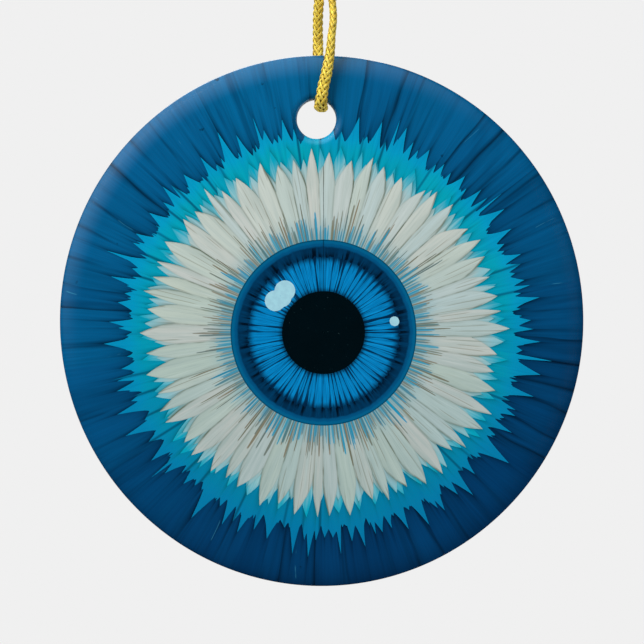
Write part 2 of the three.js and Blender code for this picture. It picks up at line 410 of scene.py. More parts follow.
def new_piece(name, points, faces, material, body, slot):
    mesh = bpy.data.meshes.new(name)
    mesh.from_pydata([tuple(p) for p in points], [], faces)
    mesh.materials.append(material)
    mesh.polygons.foreach_set("use_smooth", [True] * len(mesh.polygons))
    mesh.validate()
    mesh.update()
    piece = bpy.data.objects.new(name, mesh)
    bpy.context.scene.collection.objects.link(piece)
    if body:
        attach(piece, body)
    return piece


def grid_faces(rows, columns):
    """Quads of a grid of points held row after row, with its last column joined to its first."""
    after = [(c + 1) % columns for c in range(columns)]
    return [
        (r * columns + c, r * columns + after[c], (r + 1) * columns + after[c], (r + 1) * columns + c)
        for r in range(rows - 1)
        for c in range(columns)
    ]


def stood(plan, y):
    """Points of a plan seen from the front, stood up at one depth."""
    return np.stack([plan[:, 0], np.full(len(plan), y), plan[:, 1]], 1)


def places(parts, kind):
    """Where a mesh's vertices or the centres of its faces are, a row for each."""
    flat = np.empty(len(parts) * 3)
    parts.foreach_get(kind, flat)
    return flat.reshape(-1, 3)


def points_of(piece):
    return places(piece.data.vertices, "co")


def face_middles(piece):
    return places(piece.data.polygons, "center")


def give(piece, name, values, domain="POINT"):
    """Keeps a number for each point or face of a piece, for its material to read."""
    attribute = piece.data.attributes.new(name, "FLOAT", domain)
    attribute.data.foreach_set("value", np.asarray(values, dtype=np.float32))


# ------------------------------------------------------------------ the disc's shape

# How many steps the disc's mesh takes round it, over each rounded edge and across each face.
DISC_COLUMNS = 320
MOUTH_STEPS = 8
FACE_STEPS = 20
SHOULDER_STEPS = 16
BACK_EDGE_STEPS = 10


def hole_middle(disc):
    top = DISC_MIDDLE.z + DISC_SPAN.z / 2
    return Vector((DISC_MIDDLE.x + disc.hole_shift, 0.0, top - disc.hole_to_rim - disc.hole / 2))


def eased(share, drop):
    """How far a quarter-round edge has fallen, at a share of its run."""
    return drop * (1 - np.sqrt(np.clip(1 - share**2, 0, 1)))


def film_depth(disc, x, z):
    """How far the print's surface lies behind its flat, at the shoulder and in the mouth of the hole."""
    reach = FILM_SPAN.z / 2
    skin = (FILM_SPAN.z - DISC_SPAN.z) / 2
    run = disc.shoulder_run + skin
    out = np.hypot((x - DISC_MIDDLE.x) * FILM_SPAN.z / FILM_SPAN.x, z - DISC_MIDDLE.z)
    shoulder = np.clip((out - (reach - run)) / run, 0, 1)
    hole = hole_middle(disc)
    edge = disc.hole_edge + skin
    near = np.hypot(x - hole.x, z - hole.z)
    mouth = np.clip((disc.hole / 2 + disc.hole_edge - near) / edge, 0, 1)
    return eased(shoulder, disc.shoulder_drop + skin) + eased(mouth, edge)


def quarter_turns(steps):
    """Angles in even steps from nothing to a quarter of a turn."""
    return [math.pi / 2 * k / steps for k in range(steps + 1)]


def disc_profile(disc):
    """The disc's section as rows that go once round it: from the hole's front mouth out over the front,
    round the rim, back over the rear face, and through the bore."""
    front, back = -DISC_SPAN.y / 2, DISC_SPAN.y / 2
    rim, throat, edge = DISC_SPAN.z / 2, disc.hole / 2, disc.hole_edge
    inner = rim - disc.shoulder_run
    bore = DISC_SPAN.y - 2 * edge
    face = [k / FACE_STEPS for k in range(1, FACE_STEPS)]
    rows = []

    def add(kind, radius, y):
        rows.append((kind, radius, y))

    for turn in quarter_turns(MOUTH_STEPS):
        add("hole", throat + edge - edge * math.cos(turn), front + edge - edge * math.sin(turn))
    for share_out in face:
        add("flat", share_out, front)
    for turn in quarter_turns(SHOULDER_STEPS):
        fall = disc.shoulder_drop * (1 - math.cos(turn))
        add("rim", inner + disc.shoulder_run * math.sin(turn), front + fall)
    for turn in quarter_turns(BACK_EDGE_STEPS):
        add("rim", rim - disc.back_edge * (1 - math.cos(turn)), back - disc.back_edge * (1 - math.sin(turn)))
    for share_out in face:
        add("flat", 1 - share_out, back)
    for turn in reversed(quarter_turns(MOUTH_STEPS)):
        add("hole", throat + edge - edge * math.cos(turn), back - edge + edge * math.sin(turn))
    for third in (1, 2):
        add("hole", throat, back - edge - third * bore / 3)
    return rows


def disc_points(disc, columns):
    """Every row of the section, carried round the hole and the rim."""
    turn = np.arange(columns) * TURN / columns
    way = np.stack([np.cos(turn), np.sin(turn)], 1)
    hole = hole_middle(disc)
    oval = np.array([DISC_SPAN.x / DISC_SPAN.z, 1.0])
    hole_at = np.array([hole.x, hole.z])
    rim_at = np.array([DISC_MIDDLE.x, DISC_MIDDLE.z])
    points = []
    for kind, value, y in disc_profile(disc):
        if kind == "hole":
            plan = hole_at + way * value
        elif kind == "rim":
            plan = rim_at + way * value * oval
        else:
            inner = hole_at + way * (disc.hole / 2 + disc.hole_edge)
            edge = disc.shoulder_run if y < 0 else disc.back_edge
            outer = rim_at + way * (DISC_SPAN.z / 2 - edge) * oval
            plan = inner + (outer - inner) * value
        points.append(stood(plan, y))
    return np.stack(points)


def porcelain_material(disc):
    sheet = sheet_for("glazed_porcelain")
    spot = sheet.spot()
    cloud = sheet.noise(spot, 55.0, 4.0)
    speck = sheet.noise(spot, 900.0, 1.0)
    base = sheet.washed(
        disc.white,
        (cloud.between(0.35, 0.7), tint(232, 232, 229)),
        (speck.between(0.76, 0.84) * 0.5, tint(150, 140, 122)),
    )
    ripple = sheet.noise(spot, 240.0, 3.0)
    roughness = 0.1 + cloud * 0.1 + speck * 0.04
    return sheet.surface(base, roughness, ripple, step=0.03 * MM, strength=0.4, IOR=1.5)


# ------------------------------------------------------------------ the printed eye's shapes


# Angles at which every outline has a point, besides the tips and the notches.
EVEN_ANGLES = 1500
# The least that a layer of leaves shows outside the one in front of it.
HAIR = 0.02 * MM


class Leaves:
    """A ring of pointed leaves or spikes round the eye, each a little unlike the next."""

    OVERLAP = 1.08

    def __init__(self, chance, count, foot, tip, vary, stray=0.2, bow=0.6, shift=0.5, fill=1.0):
        pitch = TURN / count
        self.centre = (np.arange(count) + shift + stray * chance.uniform(-1, 1, count)) * pitch
        gap = np.roll(self.centre, -1) - self.centre
        gap[-1] += TURN
        share = 0.5 + 0.18 * chance.uniform(-1, 1, count)
        self.border = self.centre + gap * share
        self.right = gap * share * self.OVERLAP * fill
        self.left = np.roll(gap * (1 - share), 1) * self.OVERLAP * fill
        self.tip = tip + vary * chance.uniform(-1, 1, count)
        self.chance = chance.random(count)
        self.foot = foot
        self.bow = bow

    def off(self, angle):
        """For each angle, how far it is from each leaf's middle, in that leaf's half widths."""
        away = (angle[:, None] - self.centre + math.pi) % TURN - math.pi
        return away / np.where(away < 0, self.left, self.right)

    def heights(self, angle):
        """How far out each leaf comes at each angle."""
        inside = np.clip(1 - np.abs(self.off(angle)), 0, 1)
        return self.foot + (self.tip - self.foot) * inside**self.bow

    def reach(self, angle):
        """How far out the furthest leaf comes at each angle."""
        return self.heights(angle).max(1)

    def inset(self, angle, radius):
        """How far a point is inside its own leaf's edge, which leaf that is, and where across it."""
        leaf = self.heights(angle).argmax(1)
        off = self.off(angle)[np.arange(len(angle)), leaf]
        half = np.where(off < 0, self.left[leaf], self.right[leaf])
        climb = np.clip((radius - self.foot) / (self.tip[leaf] - self.foot), 0, 1)
        wide = np.minimum(1 - climb ** (1 / self.bow), 1 / self.OVERLAP)
        return (wide - np.abs(off)) * half * radius, leaf, off

    def from_border(self, angle, radius):
        """How far a point is from the line between two leaves, and which line that is."""
        away = np.abs((angle[:, None] - self.border + math.pi) % TURN - math.pi)
        return away.min(1) * radius, away.argmin(1)


def eye_outlines():
    """The rings of leaves and spikes, and the print's outlines from the front leaves out to the star."""
    shape = bpy.context.scene.ornament_print
    chance = np.random.default_rng(shape.seed)
    count, foot = shape.spikes, shape.spike_foot
    front = Leaves(chance, shape.leaves, shape.leaf_foot, shape.leaf_tip, 1.0 * MM, 0.28)
    inner = Leaves(chance, shape.leaves, shape.leaf_foot, shape.inner_tip, 1.2 * MM, 0.3, 0.65, 0.0)
    veil = Leaves(chance, shape.leaves, shape.leaf_foot, shape.veil_tip, 0.7 * MM, 0.35, 0.6, 0.05)
    spikes = Leaves(chance, count, foot, shape.spike_tip, 1.6 * MM, 0.26, 1.9, fill=0.8)
    steps = Leaves(chance, count, foot, foot + 2.0 * MM, 1.3 * MM, 0.2, 1.1, 0.86, fill=0.42)
    barbs = Leaves(chance, count, foot, foot + 1.5 * MM, 1.1 * MM, 0.25, 1.1, 0.18, fill=0.34)
    teeth = Leaves(chance, 6 * count, foot, foot + 0.8 * MM, 0.7 * MM, 0.4, 0.8, fill=0.8)
    needles = Leaves(chance, 9, foot, shape.spike_tip + 0.9 * MM, 1.2 * MM, 0.3, 1.0, fill=0.03)
    rings = (front, inner, veil, spikes, steps, barbs, teeth, needles)
    even = np.arange(EVEN_ANGLES) * TURN / EVEN_ANGLES
    marks = np.concatenate([even] + [ring.centre for ring in rings] + [ring.border for ring in rings[:4]])
    angle = np.unique(np.round(marks % TURN, 5))
    leaf_line = front.reach(angle)
    inner_line = np.maximum(inner.reach(angle), leaf_line + HAIR)
    veil_line = np.maximum(veil.reach(angle), inner_line + HAIR)
    star_line = np.max([ring.reach(angle) for ring in rings[3:]], 0)
    return {
        "front": front,
        "inner": inner,
        "veil": veil,
        "spikes": spikes,
        "angle": angle,
        "leaf_line": leaf_line,
        "inner_line": inner_line,
        "veil_line": veil_line,
        "star_line": star_line,
    }


def shadow_of(outline, columns, angle, radius, spread, weak):
    """How dark the layer under an outline is at each point: darkest beside the outline, on the clockwise
    side of each leaf in it, and weak on the other side."""
    edge = np.interp(angle, columns, outline, period=TURN)
    slope = np.gradient(outline, columns) / outline
    slope = (slope + np.roll(slope, 1) + np.roll(slope, -1)) / 3
    steep = np.interp(angle, columns, slope, period=TURN)
    side = weak + (1 - weak) * np.clip(0.5 - steep * 2, 0, 1)
    return np.exp(-np.clip(radius - edge, 0, None) / np.hypot(1, steep) / spread) * side


def iris_reach(angle):
    """The ragged edge where the iris meets its dark ring."""
    base = span_of("print_iris").x / 2
    ragged = 0.1 * np.sin(61 * angle + 1.3) + 0.08 * np.sin(97 * angle + 0.4)
    return base + ragged * MM


def on_eye(angle, radius):
    """Points at an angle, clockwise from the top, and at a distance from the middle of the eye."""
    return np.stack([EYE_MIDDLE.x + radius * np.sin(angle), EYE_MIDDLE.z + radius * np.cos(angle)], 1)


def round_eye(angle, radius):
    return on_eye(angle, np.full(len(angle), radius))


def on_rim(angle, size):
    """Points where the same angles from the middle of the eye meet an oval of that half height round the
    middle of the disc."""
    way = np.stack([np.sin(angle), np.cos(angle)], 1)
    start = np.array([EYE_MIDDLE.x - DISC_MIDDLE.x, EYE_MIDDLE.z - DISC_MIDDLE.z])
    squeeze = np.array([FILM_SPAN.z / FILM_SPAN.x, 1.0])
    a, b = way * squeeze, start * squeeze
    square, cross = (a * a).sum(1), (a * b).sum(1)
    out = (-cross + np.sqrt(cross**2 - square * ((b * b).sum() - size**2))) / square
    return np.array([EYE_MIDDLE.x, EYE_MIDDLE.z]) + way * out[:, None]


def polar(points):
    across, up = points[:, 0] - EYE_MIDDLE.x, points[:, 2] - EYE_MIDDLE.z
    return np.arctan2(across, up) % TURN, np.hypot(across, up)


def film_piece(name, rows, material, slot):
    """A field of the print from rows of points in plan, laid on the disc's front and cut at the hole."""
    disc = bpy.context.scene.ornament_disc
    columns = len(rows[0])
    plan = np.concatenate(rows)
    flat = stood(plan, FILM_FRONT)
    piece = new_piece(name, flat, grid_faces(len(rows), columns), material, None, slot)
    hole = hole_middle(disc)
    near = np.hypot(flat[:, 0] - hole.x, flat[:, 2] - hole.z)
    if near.min() < disc.hole / 2 + disc.hole_edge:
        cut_at_hole(piece, disc)
    points = points_of(piece)
    points[:, 1] += film_depth(disc, points[:, 0], points[:, 2])
    piece.data.vertices.foreach_set("co", points.ravel())
    piece.data.update()
    lay_flat_map(piece, points)
    return piece


def lay_flat_map(piece, points):
    """A map of the field as seen from the front, so that its print keeps an even scale."""
    low, high = points.min(0), points.max(0)
    size = max(high[0] - low[0], high[2] - low[2])
    corner = np.empty(len(piece.data.loops), dtype=np.int32)
    piece.data.loops.foreach_get("vertex_index", corner)
    flat = (points[:, [0, 2]] - low[[0, 2]]) / size
    piece.data.uv_layers.new(name="OFBake").data.foreach_set("uv", flat[corner].astype(np.float32).ravel())


def cut_at_hole(piece, disc):
    """Refines a field round the hole, takes away what is inside it and draws the edge to a true circle."""
    longest = 0.12 * MM
    hole = hole_middle(disc)
    end = disc.hole / 2 + 0.02 * disc.hole_edge
    refined = disc.hole / 2 + disc.hole_edge * 1.3
    work = bmesh.new()
    work.from_mesh(piece.data)

    def away(point):
        return math.hypot(point.x - hole.x, point.z - hole.z)

    near = [e for e in work.edges if min(away(v.co) for v in e.verts) < refined]
    edges = [e for e in near if e.calc_length() > longest]
    bmesh.ops.subdivide_edges(work, edges=edges, cuts=1, use_grid_fill=True)
    inside = {v for v in work.verts if away(v.co) < end}
    gone = [f for f in work.faces if all(v in inside for v in f.verts)]
    bmesh.ops.delete(work, geom=gone, context="FACES")
    for v in [v for v in work.verts if v in inside]:
        side = Vector((v.co.x - hole.x, 0.0, v.co.z - hole.z)).normalized()
        v.co.x = hole.x + side.x * end
        v.co.z = hole.z + side.z * end
    work.to_mesh(piece.data)
    work.free()
    piece.data.polygons.foreach_set("use_smooth", [True] * len(piece.data.polygons))


def rings(inner, outer, steps, power=1.0):
    """Rows of points from one outline to another."""
    return [inner + (outer - inner) * (k / steps) ** power for k in range(steps + 1)]


def on_disc_face(piece, *nodes):
    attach(piece, "disc")
    if nodes:
        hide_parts(*nodes)


# ------------------------------------------------------------------ inks


# Where the iris begins and ends, in millimetres from the middle of the eye.
PUPIL_EDGE = 5.7
IRIS_EDGE = 10.4
# Fine lines across the iris in one turn, which run on into its dark ring.
IRIS_LINES = 68


def pupil_material(ink):
    sheet = PrintSheet("ink_pupil")
    dust = sheet.noise(sheet.flat(), 2.6, 5.0, 0.75)
    cloud = sheet.noise(sheet.flat(), 0.35, 2.0)
    base = sheet.washed(
        ink.night,
        (cloud * 0.6, tint(0, 7, 10)),
        (dust.between(0.6, 0.72) * 0.5, tint(6, 36, 48)),
        (dust.between(0.66, 0.7) * 0.8, tint(84, 104, 104)),
    )
    return sheet.glazed(base, 0.08)


def iris_lines(sheet, count, drift):
    """Dark lines across the iris: broad at the pupil, thin half way out and broad again at the ring."""
    gap = sheet.gap(count, drift)
    red, green, _ = sheet.chances(count, drift)
    climb = (sheet.radius - PUPIL_EDGE) / (IRIS_EDGE - PUPIL_EDGE)
    foot = (1 - climb.between(0.0, 0.5)) * (0.05 + green * 0.2)
    head = climb.between(0.5, 1.0) * (0.04 + red * 0.3)
    wide = 0.03 + red * 0.08 + foot + head
    return (1 - gap.between(wide * 0.5, wide)) * green.between(0.0, 0.35)


def bold_lines(sheet):
    """A few dark lines that run all the way from the pupil into the dark ring."""
    gap = sheet.gap(15, sheet.sway(0.3))
    foot = (1 - sheet.radius.between(PUPIL_EDGE, 8.5)) * 0.045
    wide = 0.024 + foot + sheet.radius.between(9.0, 10.6) * 0.03
    return (1 - gap.between(wide * 0.45, wide)) * (1 - sheet.radius.between(11.2, 12.6)) * 0.92


def iris_material(ink):
    sheet = PrintSheet("ink_iris")
    sway = sheet.sway(1.4)
    fine = sheet.streaks(60.0, 0.22, 3.0, 0.6)
    slow = sheet.streaks(11.0, 0.2, 2.0)
    broad = iris_lines(sheet, IRIS_LINES, sway) * (0.6 + slow * 0.6)
    thin = iris_lines(sheet, 113, sway + 7.3) * slow.between(0.46, 0.58) * 0.6
    inner = 1 - (sheet.radius + (fine - 0.5) * 0.8).between(PUPIL_EDGE, 6.5)
    outer = (sheet.radius + (fine - 0.5) * 1.4).between(9.6, 10.7)
    base = sheet.washed(
        tint(0, 104, 158),
        (fine.between(0.32, 0.7), tint(4, 136, 198)),
        (slow.between(0.4, 0.6) * 0.7, ink.iris),
        (broad.most(thin).most(bold_lines(sheet)).least(0.94), ink.iris_line),
        (inner * 0.75, tint(0, 20, 38)),
        (outer * 0.92, tint(0, 32, 60)),
    )
    return sheet.glazed(sheet.seam(base, tint(0, 16, 30)), 0.08)


def rim_material(ink):
    sheet = PrintSheet("ink_iris_rim")
    blotch = sheet.streaks(17.0, 0.3, 2.0, 0.5)
    fine = sheet.streaks(70.0, 0.4, 2.0)
    ledge = 0.35 + (1 - sheet.radius.between(10.6, 11.5)) * 0.6
    line = (1 - sheet.gap(IRIS_LINES, sheet.sway(1.4)).between(0.05, 0.16))
    line = line * (1 - (sheet.radius + blotch * 1.4).between(11.0, 12.4))
    step = sheet.radius + (blotch - 0.5) * 0.35
    base = sheet.washed(
        ink.rim,
        (blotch.between(0.4, 0.6) * ledge, tint(0, 16, 34)),
        (fine.between(0.5, 0.75) * 0.4, tint(0, 66, 106)),
        ((line * 0.85).most(bold_lines(sheet)), tint(0, 10, 24)),
        (step.between(11.85, 12.2), tint(0, 76, 118)),
        (step.between(12.3, 12.6) * 0.8, ink.rim_edge),
        (sheet.radius.between(12.78, 12.9) * 0.8, tint(0, 64, 84)),
    )
    return sheet.glazed(sheet.seam(base, tint(0, 20, 34)), 0.08)


def leaf_body(sheet, *shades):
    """A shade for each leaf, streaked along its length and darker towards one side, with painted light and
    shade over them all: paler at the top, darker and bluer at the bottom.
    """
    fine = sheet.streaks(110.0, 0.14, 4.0, 0.65)
    slow = sheet.streaks(30.0, 0.1, 2.0)
    side = sheet.named("leaf_side").between(-0.1, 1.0) * sheet.radius.between(15.0, 22.0)
    base = sheet.washed(
        sheet.tones(sheet.named("leaf_chance"), *shades),
        (slow.between(0.4, 0.62) * 0.45, tint(156, 168, 162)),
        (fine.between(0.52, 0.72) * 0.5, tint(130, 142, 134)),
        ((1 - fine.between(0.28, 0.46)) * 0.5, tint(200, 206, 200)),
        (side * 0.42, tint(136, 148, 138)),
    )
    # Painted light and shade: the leaves are mixed paler towards the top and darker and bluer towards the
    # bottom, as from a lamp above.
    low = sheet.mix(0.3, base, tint(128, 160, 162))
    high = sheet.mix(0.25, base, tint(206, 212, 204))
    return sheet.mix(sheet.up.between(-24.0, 24.0), low, high)


def leaf_edges(sheet, base, ink):
    """Lines along the leaves' edges: brown and strong on one side of some leaves, faint on the rest."""
    inset = sheet.named("inset_mm")
    chance = (sheet.named("leaf_chance") * 7.7).maths("FRACT")
    side = sheet.named("leaf_side").between(-0.05, 0.05)
    worn = sheet.streaks(14.0, 0.25, 2.0).between(0.34, 0.6)
    strong = (1 - inset.between(0.04, 0.28)) * side * (0.25 + chance * 0.75) * worn
    faint = (1 - inset.between(0.0, 0.16)) * 0.2
    rib = sheet.gap(190, sheet.streaks(4.0, 0.03) * 1.5)
    ribs = (1 - rib.between(0.02, 0.16)) * sheet.streaks(22.0, 0.12, 1.0).between(0.52, 0.6)
    return sheet.washed(base, (strong.most(faint), ink.leaf_line), (ribs * 0.5, tint(118, 116, 96)))


def leaf_material(ink):
    sheet = PrintSheet("ink_leaves")
    shades = (tint(174, 186, 172), tint(186, 190, 180), tint(190, 186, 178))
    shades += (tint(170, 186, 186), tint(182, 188, 172))
    base = leaf_edges(sheet, leaf_body(sheet, *shades), ink)
    base = leaf_foot_marks(sheet, base, ink)
    return sheet.glazed(sheet.seam(base, tint(60, 66, 60)), 0.1)


def leaf_foot_marks(sheet, base, ink):
    """Thin lines of grey, brown and blue at the foot of the leaves, each with a length of its own."""
    foot = 14.4
    haze = (1 - (sheet.radius + sheet.streaks(30.0, 0.1) * 3.0).between(14.0, 18.5)) * 0.8
    marked = sheet.mix(haze, base, tint(118, 160, 168))
    browns = (tint(96, 98, 80), tint(130, 114, 90), tint(84, 104, 104), tint(120, 116, 92))
    blues = (ink.dash, tint(44, 142, 168), tint(16, 126, 158), tint(84, 112, 108))
    # Each set of lines: how many to a turn, how far they are turned, their inks, their reach and half width.
    sets = ((171, 0.0, browns, 4.6, 0.13), (97, 11.7, browns, 6.0, 0.09), (131, 23.3, browns, 3.6, 0.1))
    sets += ((139, 31.4, blues, 2.2, 0.15), (97, 57.9, blues, 3.2, 0.13))
    for count, shift, shades, run, half in sets:
        drift = sheet.streaks(4.0, 0.03) * 1.5 + shift
        red, green, blue = sheet.chances(count, drift)
        climb = sheet.radius / (foot + green * green * run)
        wide = half * (1.0 + red - climb.between(0.9, 1.0) * 0.7)
        line = 1 - sheet.from_middle(count, drift).between(wide * 0.5, wide)
        line = line * (1 - climb.between(0.98, 1.0))
        marked = sheet.mix(line * (0.5 + green * 0.45), marked, sheet.tones(blue, *shades))
    return marked


def inner_leaf_material(ink):
    sheet = PrintSheet("ink_inner_leaves")
    shades = (tint(166, 188, 190), tint(176, 190, 186), tint(158, 182, 188))
    shades += (tint(178, 186, 180), tint(164, 190, 196))
    tip = (sheet.named("climb") + (sheet.streaks(40.0, 0.3) - 0.5) * 0.5).between(0.3, 1.0)
    base = sheet.washed(
        leaf_edges(sheet, leaf_body(sheet, *shades), ink),
        (tip * 0.7, tint(112, 180, 192)),
        (sheet.named("shadow") * 0.8, tint(84, 106, 96)),
    )
    return sheet.glazed(base, 0.1)


def veil_material(ink):
    sheet = PrintSheet("ink_veil")
    fine = sheet.streaks(90.0, 0.16, 3.0, 0.6)
    slow = sheet.streaks(20.0, 0.12, 2.0)
    shades = (tint(134, 186, 194), tint(110, 180, 192), tint(148, 188, 190))
    turn = (sheet.named("climb") + (slow - 0.5) * 0.8 + (fine - 0.5) * 0.5).between(0.35, 1.0)
    base = sheet.washed(
        sheet.tones(sheet.named("leaf_chance"), *shades),
        (fine.between(0.48, 0.7) * 0.5, tint(84, 168, 180)),
        (turn, tint(0, 154, 178)),
        (sheet.named("shadow") * 0.75, tint(8, 96, 98)),
    )
    return sheet.glazed(base, 0.1)


def star_material(ink):
    sheet = PrintSheet("ink_star")
    fine = sheet.streaks(110.0, 0.12, 4.0, 0.62)
    slow = sheet.streaks(18.0, 0.14, 2.0)
    out = (sheet.radius + (slow - 0.5) * 3.0).between(25.0, 29.5)
    # low: darker towards the bottom of the star, painted shade as from a lamp above.
    low = 1 - sheet.up.between(-27.0, 14.0)
    chance = (sheet.named("line_chance") * 5.3).maths("FRACT")
    line = (1 - sheet.named("line_mm").between(0.02, 0.3)) * chance.between(0.25, 0.8)
    base = sheet.washed(
        sheet.tones(out, tint(0, 156, 172), ink.star, tint(0, 140, 182)),
        (sheet.named("leaf_chance") * 0.35, tint(0, 130, 176)),
        (fine.between(0.5, 0.72) * 0.4, tint(0, 122, 158)),
        ((1 - fine.between(0.28, 0.44)) * 0.3, tint(10, 166, 196)),
        # Painted shade: the star darker towards the bottom.
        (low * 0.75, tint(0, 104, 148)),
        (line * 0.85, ink.star_line),
        (sheet.named("shadow") * 0.7, tint(0, 88, 96)),
    )
    return sheet.glazed(base, 0.09)


def ground_material(ink):
    sheet = PrintSheet("ink_ground")
    planks = 58
    drift = sheet.streaks(3.0, 0.04, 2.0) * 1.2
    chance, other, _ = sheet.chances(planks, drift)
    gap = sheet.gap(planks, drift)
    fine = sheet.streaks(120.0, 0.08, 4.0, 0.6)
    slow = sheet.streaks(20.0, 0.05, 3.0)
    # top: paler towards the upper left, painted light as from a lamp at the upper left, broken up by slow
    # streaks; low and high are its shaded and lit blues.
    top = (sheet.up - sheet.across * 0.35 + (slow - 0.5) * 16.0).between(-36.0, 34.0)
    low = sheet.mix(fine.between(0.2, 0.8), tint(0, 46, 84), tint(0, 54, 98))
    high = sheet.mix(fine.between(0.2, 0.8), tint(0, 86, 128), tint(2, 98, 146))
    split = (1 - gap.between(0.0, 0.1)) * slow.between(0.42, 0.6) * (0.4 + chance * 0.6)
    deep = (1 - gap.between(0.0, 0.2)) * chance.between(0.78, 0.82) * slow.between(0.3, 0.5)
    scratch = 1 - sheet.gap(17, drift * 0.6).between(0.0, 0.006)
    scratch = scratch * sheet.streaks(5.0, 0.22, 2.0).between(0.57, 0.63)
    mottle = sheet.noise(sheet.flat(), 0.5, 3.0, 0.5)
    # The ground's blue starts from painted light and shade: lit at the upper left, shaded at the lower
    # right.
    base = sheet.washed(
        sheet.mix(top, low, high),
        (chance * 0.4, ink.ground),
        (other.between(0.5, 1.0) * 0.35, tint(0, 46, 84)),
        (slow.between(0.5, 0.72) * 0.45, tint(0, 42, 74)),
        (split * 0.65, ink.crack),
        (deep * 0.5, tint(0, 18, 34)),
        (scratch * 0.5, tint(56, 140, 170)),
        (mottle.between(0.7, 0.75) * 0.7, tint(0, 24, 40)),
        (sheet.named("shadow") * (0.4 + slow * 0.9), tint(0, 20, 42)),
    )
    return sheet.glazed(sheet.seam(base, tint(0, 26, 46)), 0.1)


def glint_material(ink):
    sheet = PrintSheet("ink_glint")
    cloud = sheet.noise(sheet.flat(), 1.4, 3.0)
    return sheet.glazed(sheet.mix(cloud.between(0.35, 0.65), ink.glint, tint(158, 202, 212)), 0.08)


# ------------------------------------------------------------------ the cord

# The cord's route in metres, from under the knot down the front strand, back through the hole and up behind.
LOOP_ROUTE = [
    (0.00086, 0.0, 0.0),
    (0.001, -0.00053, -0.00115),
    (0.00108, -0.00115, -0.0025),
    (0.00102, -0.00178, -0.0039),
    (0.00084, -0.00234, -0.00535),
    (0.00073, -0.00264, -0.00675),
    (0.00057, -0.00272, -0.0082),
    (0.00033, -0.00272, -0.0096),
    (0.00006, -0.00272, -0.011),
    (-0.00025, -0.00272, -0.0122),
    (-0.00042, -0.00272, -0.0131),
    (-0.00053, -0.0026, -0.0139),
    (-0.0006, -0.00215, -0.01472),
    (-0.00063, -0.0011, -0.01522),
    (-0.00064, 0.0, -0.01532),
    (-0.00066, 0.0011, -0.0152),
    (-0.0007, 0.00208, -0.01466),
    (-0.00075, 0.00248, -0.01385),
    (-0.00082, 0.0026, -0.0131),
    (-0.0009, 0.00262, -0.0122),
    (-0.00098, 0.00262, -0.011),
    (-0.00103, 0.00262, -0.0096),
    (-0.00105, 0.00262, -0.0082),
    (-0.00106, 0.00256, -0.00675),
    (-0.00107, 0.00228, -0.00535),
    (-0.00108, 0.00174, -0.0039),
    (-0.00106, 0.00113, -0.0025),
    (-0.00098, 0.00053, -0.00115),
    (-0.00086, 0.0, 0.0),
]
BIGHT = Vector(LOOP_ROUTE[len(LOOP_ROUTE) // 2])
FRONT_TAIL = [(0.00125, -0.00035, 0.0016), (0.002, -0.00055, 0.0032), (0.003, -0.0006, 0.0047)]
REAR_TAIL = [(-0.0011, 0.00035, 0.0015), (-0.00175, 0.0006, 0.0029), (-0.0025, 0.0007, 0.0041)]
CORD_STEP = 0.08 * MM
TOWARDS_BACK = (0.0, 1.0, 0.0)
YARN_SIDES = 6
CORE_SIDES = 12
# The braid's inside, dark with painted shade, as a share of the braid's own size.
CORE_SHARE = 0.76
# Seeds of the yarns' shades and of the lumps in the melted ends.
YARN_SEED = 23
LUMP_SEED = 5
# A melted end, ring by ring: its radius and how far along the cord it is, in half diameters.
SEAL_RINGS = ((1.0, -0.45), (1.04, -0.1), (0.98, 0.2), (0.8, 0.42), (0.45, 0.56), (0.05, 0.6))
SEAL_SIDES = 16


def smooth_line(points):
    """A smooth curve through the points, cut into even steps."""
    p = np.array(points, dtype=float)
    ends = np.vstack([2 * p[0] - p[1], p, 2 * p[-1] - p[-2]])
    fine = []
    for a, b, c, d in zip(ends[:-3], ends[1:-2], ends[2:-1], ends[3:]):
        for t in np.linspace(0, 1, 24, endpoint=False):
            square, cube = 2 * a - 5 * b + 4 * c - d, 3 * b - a - 3 * c + d
            fine.append(0.5 * (2 * b + (c - a) * t + square * t**2 + cube * t**3))
    fine.append(p[-1])
    return evened(np.array(fine), CORD_STEP)


def run_along(line):
    """How far along a line each of its points is."""
    return np.r_[0, np.cumsum(np.linalg.norm(np.diff(line, axis=0), axis=1))]


def evened(line, step):
    run = run_along(line)
    places = np.linspace(0, run[-1], max(8, int(round(run[-1] / step)) + 1))
    return np.stack([np.interp(places, run, line[:, k]) for k in range(3)], 1)


def unit(ways):
    return ways / np.linalg.norm(ways, axis=1)[:, None]


def carried_frame(line, first):
    """Two directions across a line at each point, carried along it without twisting."""
    along = unit(np.gradient(line, axis=0))
    side = np.zeros_like(line)
    now = np.array(first, dtype=float)
    for k, way in enumerate(along):
        now = now - way * now.dot(way)
        now /= np.linalg.norm(now)
        side[k] = now
    return side, np.cross(along, side)


def half_sizes(cord, flatness):
    """Half the braid's width and half its thickness, for a flatness of 0 where it is round."""
    return cord.diameter / 2 * (1 + flatness * 0.55), cord.diameter / 2 * (1 - flatness * 0.35)


def tube(line, side, other, thick, wide, sides):
    """Rings of points round a line, thick along side and wide along other, and faces that join them and
    close both ends."""
    ring = np.arange(sides) * TURN / sides
    points = (
        line[:, None]
        + side[:, None] * (np.cos(ring) * thick)[..., None]
        + other[:, None] * (np.sin(ring) * wide)[..., None]
    )
    faces = grid_faces(len(line), sides)
    faces.append(tuple(range(sides - 1, -1, -1)))
    faces.append(tuple((len(line) - 1) * sides + v for v in range(sides)))
    return points.reshape(-1, 3), faces


def joined(tubes):
    """The points and faces of several tubes as those of one mesh."""
    faces, total = [], 0
    for points, own_faces in tubes:
        faces.extend(tuple(total + v for v in face) for face in own_faces)
        total += len(points)
    return np.concatenate([points for points, _ in tubes]), faces


